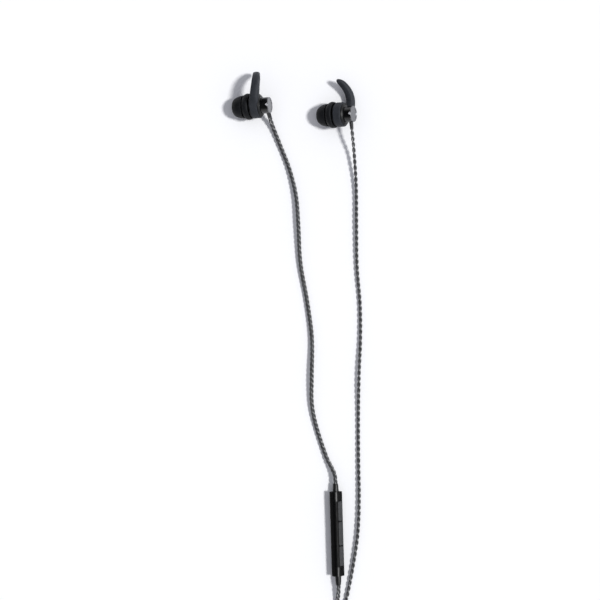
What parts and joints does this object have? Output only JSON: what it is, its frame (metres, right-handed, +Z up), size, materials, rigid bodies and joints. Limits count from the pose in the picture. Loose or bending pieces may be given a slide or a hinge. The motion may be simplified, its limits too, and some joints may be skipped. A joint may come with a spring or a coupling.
{
  "type": "wired in-ear earphones",
  "caption": "Wired in-ear earphones with metal barrels, double-flange silicone tips, ear fins, twisted cords, an inline button remote, a splitter and a four-contact plug.",
  "frame": {"origin": "on the surface the set lies on, under the middle of the box round the two earpieces", "axes": "+X from the left earpiece to the right one, +Y away from the cords, +Z up"},
  "size_m": [0.0843, 0.3722, 0.018],
  "materials": {
    "silicone": "satin silicone",
    "gloss_shell": "smooth black",
    "black_metal": "satin black anodised",
    "bright_metal": "turned, bright",
    "mesh_steel": "fine mesh",
    "driver_steel": "plated",
    "copper": "enamelled copper wire",
    "film": "thin film",
    "dark_plastic": "moulded",
    "circuit_board": "solder mask",
    "soft_black": "soft moulded",
    "button_black": "satin",
    "contact_gold": "plated",
    "cord_jacket": "twisted strands with smooth jackets",
    "tie_fabric": "hook-and-loop strap"
  },
  "bodies": {
    "set": {"left_front_shell": "gloss_shell", "left_nozzle_mesh": "mesh_steel", "left_driver_frame": "dark_plastic", "left_driver_yoke": "driver_steel", "left_driver_magnet": "driver_steel", "left_voice_coil": "copper", "left_diaphragm": "film", "left_driver_board": "circuit_board", "left_barrel": "black_metal", "left_end_cap": "bright_metal", "left_strain_relief": "soft_black", "right_front_shell": "gloss_shell", "right_nozzle_mesh": "mesh_steel", "right_driver_frame": "dark_plastic", "right_driver_yoke": "driver_steel", "right_driver_magnet": "driver_steel", "right_voice_coil": "copper", "right_diaphragm": "film", "right_driver_board": "circuit_board", "right_barrel": "black_metal", "right_end_cap": "bright_metal", "right_strain_relief": "soft_black", "remote_front_shell": "gloss_shell", "remote_back_shell": "gloss_shell", "remote_board": "circuit_board", "dome_switches": "driver_steel", "microphone": "driver_steel", "remote_upper_relief": "soft_black", "remote_lower_relief": "soft_black", "splitter_upper_shell": "gloss_shell", "splitter_lower_shell": "gloss_shell", "splitter_relief": "soft_black", "plug_grip": "gloss_shell", "plug_relief": "soft_black", "plug_sleeve": "contact_gold", "plug_rings": "contact_gold", "plug_bands": "dark_plastic", "plug_point": "contact_gold", "left_upper_cord": "cord_jacket", "left_lower_cord": "cord_jacket", "right_cord": "cord_jacket", "main_cord": "cord_jacket", "main_cord_coil": "cord_jacket", "plug_cord": "cord_jacket", "cord_tie": "tie_fabric"},
    "left_tip": {"left_ear_tip": "silicone"},
    "right_tip": {"right_ear_tip": "silicone"},
    "left_fin": {"left_ear_fin": "silicone"},
    "right_fin": {"right_ear_fin": "silicone"},
    "volume_up": {"volume_up_button": "button_black"},
    "play": {"play_button": "button_black"},
    "volume_down": {"volume_down_button": "button_black"}
  },
  "joints": [
    {"name": "left_tip_pull", "type": "slide", "parent": "set", "child": "left_tip", "axis": [-0.9528, -0.0416, -0.3007], "range_m": [0, 0.006]},
    {"name": "right_tip_pull", "type": "slide", "parent": "set", "child": "right_tip", "axis": [-0.9026, 0, -0.4305], "range_m": [0, 0.006]},
    {"name": "left_fin_turn", "type": "hinge", "parent": "set", "child": "left_fin", "pos_m": [-0.0193, -0.00301, 0.00824], "axis": [-0.9528, -0.0416, -0.3007], "range_deg": [-15, 15]},
    {"name": "right_fin_turn", "type": "hinge", "parent": "set", "child": "right_fin", "pos_m": [0.02488, -0.0076, 0.0093], "axis": [-0.9026, 0, -0.4305], "range_deg": [-15, 15]},
    {"name": "volume_up_press", "type": "slide", "parent": "set", "child": "volume_up", "axis": [-0.7428, -0.022, -0.6691], "range_m": [0, 0.0003], "stiffness_N_per_m": 4000},
    {"name": "play_press", "type": "slide", "parent": "set", "child": "play", "axis": [-0.7428, -0.022, -0.6691], "range_m": [0, 0.0003], "stiffness_N_per_m": 4000},
    {"name": "volume_down_press", "type": "slide", "parent": "set", "child": "volume_down", "axis": [-0.7428, -0.022, -0.6691], "range_m": [0, 0.0003], "stiffness_N_per_m": 4000}
  ]
}
